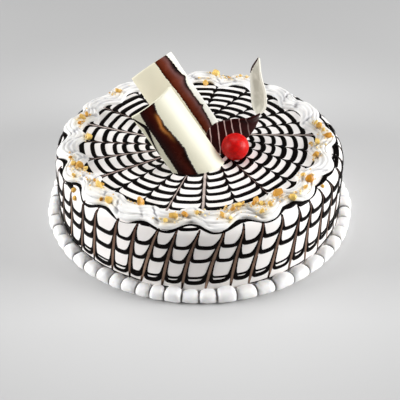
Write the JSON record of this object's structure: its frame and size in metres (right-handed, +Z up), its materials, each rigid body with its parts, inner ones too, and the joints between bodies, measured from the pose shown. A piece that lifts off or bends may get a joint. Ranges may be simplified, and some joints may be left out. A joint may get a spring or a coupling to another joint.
{
  "type": "butterscotch cake",
  "caption": "Round white-iced cake with a feathered dark web, piped cream rim with butterscotch nuggets, pearl border, chocolate sheets, a curled petal and a cherry",
  "frame": {"origin": "centre of the flat base, where the cake rests", "axes": "+Z is up, -Y is the front that faces the viewer with the cherry right of the middle, +X is to the viewer's right"},
  "size_m": [0.2181, 0.2178, 0.1104],
  "materials": {
    "icing": "satin icing",
    "cream": "soft whipped cream",
    "white_chocolate": "smooth chocolate",
    "dark_chocolate": "glossy chocolate",
    "cherry": "glazed fruit",
    "butterscotch": "hard toffee nuggets"
  },
  "bodies": {
    "root": {"cake_body": "icing", "rim_ribbon": "cream", "foot_pearls": "cream", "sheet_front": "white_chocolate", "sheet_back": "white_chocolate", "petal": "dark_chocolate", "cherry": "cherry"}
  },
  "joints": []
}
